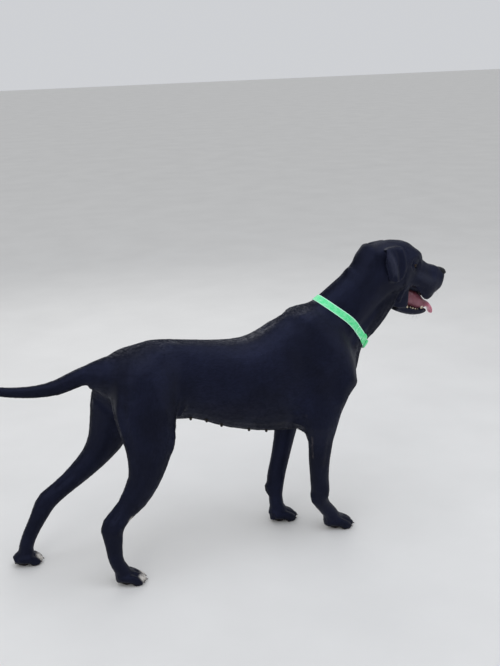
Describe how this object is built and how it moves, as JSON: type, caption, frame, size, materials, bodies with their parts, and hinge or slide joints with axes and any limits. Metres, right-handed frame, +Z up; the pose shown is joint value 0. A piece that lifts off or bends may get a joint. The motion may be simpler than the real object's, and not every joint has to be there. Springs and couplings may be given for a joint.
{
  "type": "great dane model",
  "caption": "Life-size still model of a standing black great dane with drop ears, an open mouth with its tongue out, a level tail and a green webbing collar.",
  "frame": {"origin": "on the floor, under the middle of the bounding box", "axes": "+X towards the nose, +Y towards the dog's left side, +Z up; the soles stand on z = 0"},
  "size_m": [1.6294, 0.3234, 0.9364],
  "materials": {
    "coat": "short flat glossy black coat",
    "paw": "short black coat with white toe ends on the hind paws, dark pads and claws",
    "nose_leather": "moist black nose leather",
    "tongue": "wet pink tongue",
    "eye": "wet dark brown eye",
    "webbing": "woven bright green nylon webbing",
    "buckle_plastic": "moulded bright green plastic"
  },
  "bodies": {
    "root": {"torso": "coat", "neck": "coat", "tail": "coat", "foreleg_right": "coat", "foreleg_left": "coat", "hindleg_right": "coat", "hindleg_left": "coat", "forepaw_right": "paw", "forepaw_left": "paw", "hindpaw_right": "paw", "hindpaw_left": "paw", "lower_jaw": "coat", "head": "coat", "tongue": "tongue", "nose": "nose_leather", "eye_right": "eye", "eye_left": "eye", "ear_right": "coat", "ear_left": "coat", "collar_band": "webbing", "collar_slide": "buckle_plastic", "collar_buckle": "buckle_plastic", "collar_strap_end": "webbing"}
  },
  "joints": []
}
